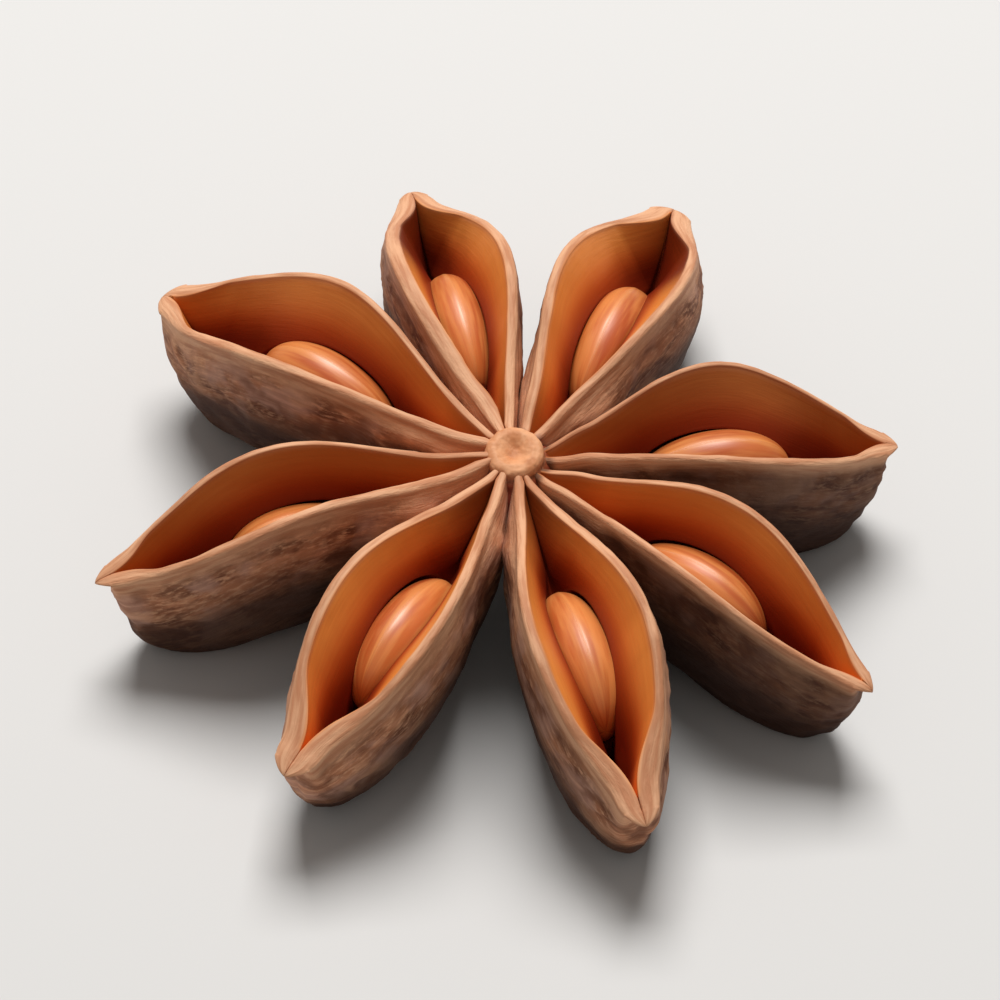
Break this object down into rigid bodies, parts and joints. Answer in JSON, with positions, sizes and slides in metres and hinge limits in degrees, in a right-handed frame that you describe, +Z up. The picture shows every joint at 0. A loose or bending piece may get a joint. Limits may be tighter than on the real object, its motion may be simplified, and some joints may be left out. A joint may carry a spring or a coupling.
{
  "type": "star anise pod",
  "caption": "Dried star anise pod: open woody husks grown round a short column, each with a glossy seed lying in its slit.",
  "frame": {"origin": "on the table, under the middle of the pod's outline seen from above", "axes": "+Z up, the open side up; +X to the right and +Y away from the viewer, husk 1 pointing nearly along +X"},
  "size_m": [0.0314, 0.0319, 0.0084],
  "materials": {
    "husk": "matt, wrinkled, grey-brown outside and smooth orange-brown inside",
    "seed": "glossy seed coat"
  },
  "bodies": {
    "root": {"husk": "husk", "seed_1": "seed", "seed_2": "seed", "seed_3": "seed", "seed_4": "seed", "seed_5": "seed", "seed_6": "seed", "seed_7": "seed", "seed_8": "seed"}
  },
  "joints": []
}
